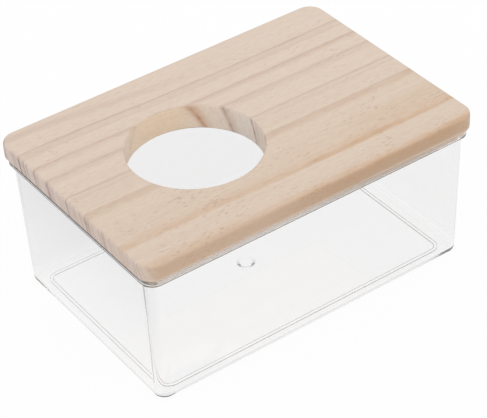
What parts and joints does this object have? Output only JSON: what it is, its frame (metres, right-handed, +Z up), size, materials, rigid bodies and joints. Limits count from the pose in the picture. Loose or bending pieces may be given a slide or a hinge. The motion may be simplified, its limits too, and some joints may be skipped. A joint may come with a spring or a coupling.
{
  "type": "hamster cage",
  "caption": "Small hamster cage or sand bath: a clear plastic tub with a loose solid-wood lid that has a large round entrance hole.",
  "frame": {"origin": "middle of the tub, on the surface that it stands on", "axes": "+Z up, X along the length with the lid's hole nearer -X, Y across the width with the front at -Y"},
  "size_m": [0.205, 0.14, 0.092],
  "materials": {
    "clear_plastic": "polished clear polystyrene",
    "pine": "sanded, unvarnished pine"
  },
  "bodies": {
    "tub": {"clear_tub": "clear_plastic"},
    "lid": {"wooden_lid": "pine"}
  },
  "joints": [
    {"name": "lid_lift", "type": "slide", "parent": "tub", "child": "lid", "axis": [0, 0, 1], "range_m": [0, 0.1]}
  ]
}
